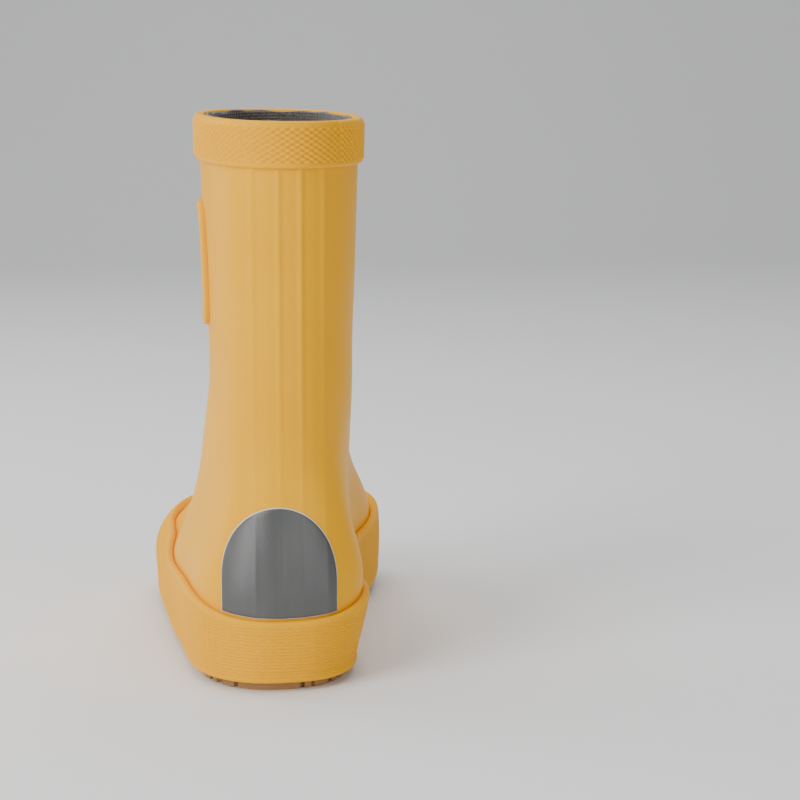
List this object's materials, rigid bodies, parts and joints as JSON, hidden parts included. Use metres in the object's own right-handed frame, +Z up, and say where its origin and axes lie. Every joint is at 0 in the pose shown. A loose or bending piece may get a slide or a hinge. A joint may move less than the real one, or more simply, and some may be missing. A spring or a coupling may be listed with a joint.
{
  "type": "rubber rain boot",
  "caption": "Child's rubber rain boot for the left foot: smooth leg with a knurled cuff, textured foxing, wavy-ribbed outsole, heel reflector and cloth lining.",
  "frame": {"origin": "on the floor, under the middle of the boot's bounding box", "axes": "+Z up the leg, +Y from heel to toe, +X to the inner (medial) side of the left foot"},
  "size_m": [0.0788, 0.1616, 0.172],
  "materials": {
    "upper_rubber": "satin",
    "cuff_rubber": "satin",
    "foxing_rubber": "satin",
    "badge_rubber": "satin",
    "reflector_carrier": "satin",
    "reflective_film": "satin",
    "sole_rubber": "matte",
    "sponge": "matte",
    "board": "matte",
    "foam": "matte",
    "cover_cloth": "matte",
    "stiffener": "matte",
    "lining_cloth": "matte",
    "tape_cloth": "matte"
  },
  "bodies": {
    "root": {"upper_shell": "upper_rubber", "cuff_band": "cuff_rubber", "side_badge": "badge_rubber", "reflector_backing": "reflector_carrier", "heel_reflector": "reflective_film", "foxing_band": "foxing_rubber", "outsole": "sole_rubber", "bottom_filler": "sponge", "insole_board": "board", "footbed_foam": "foam", "footbed_cover": "cover_cloth", "heel_counter": "stiffener", "toe_puff": "stiffener", "foot_lining": "lining_cloth", "leg_lining": "lining_cloth", "lining_back_tape": "tape_cloth"}
  },
  "joints": []
}
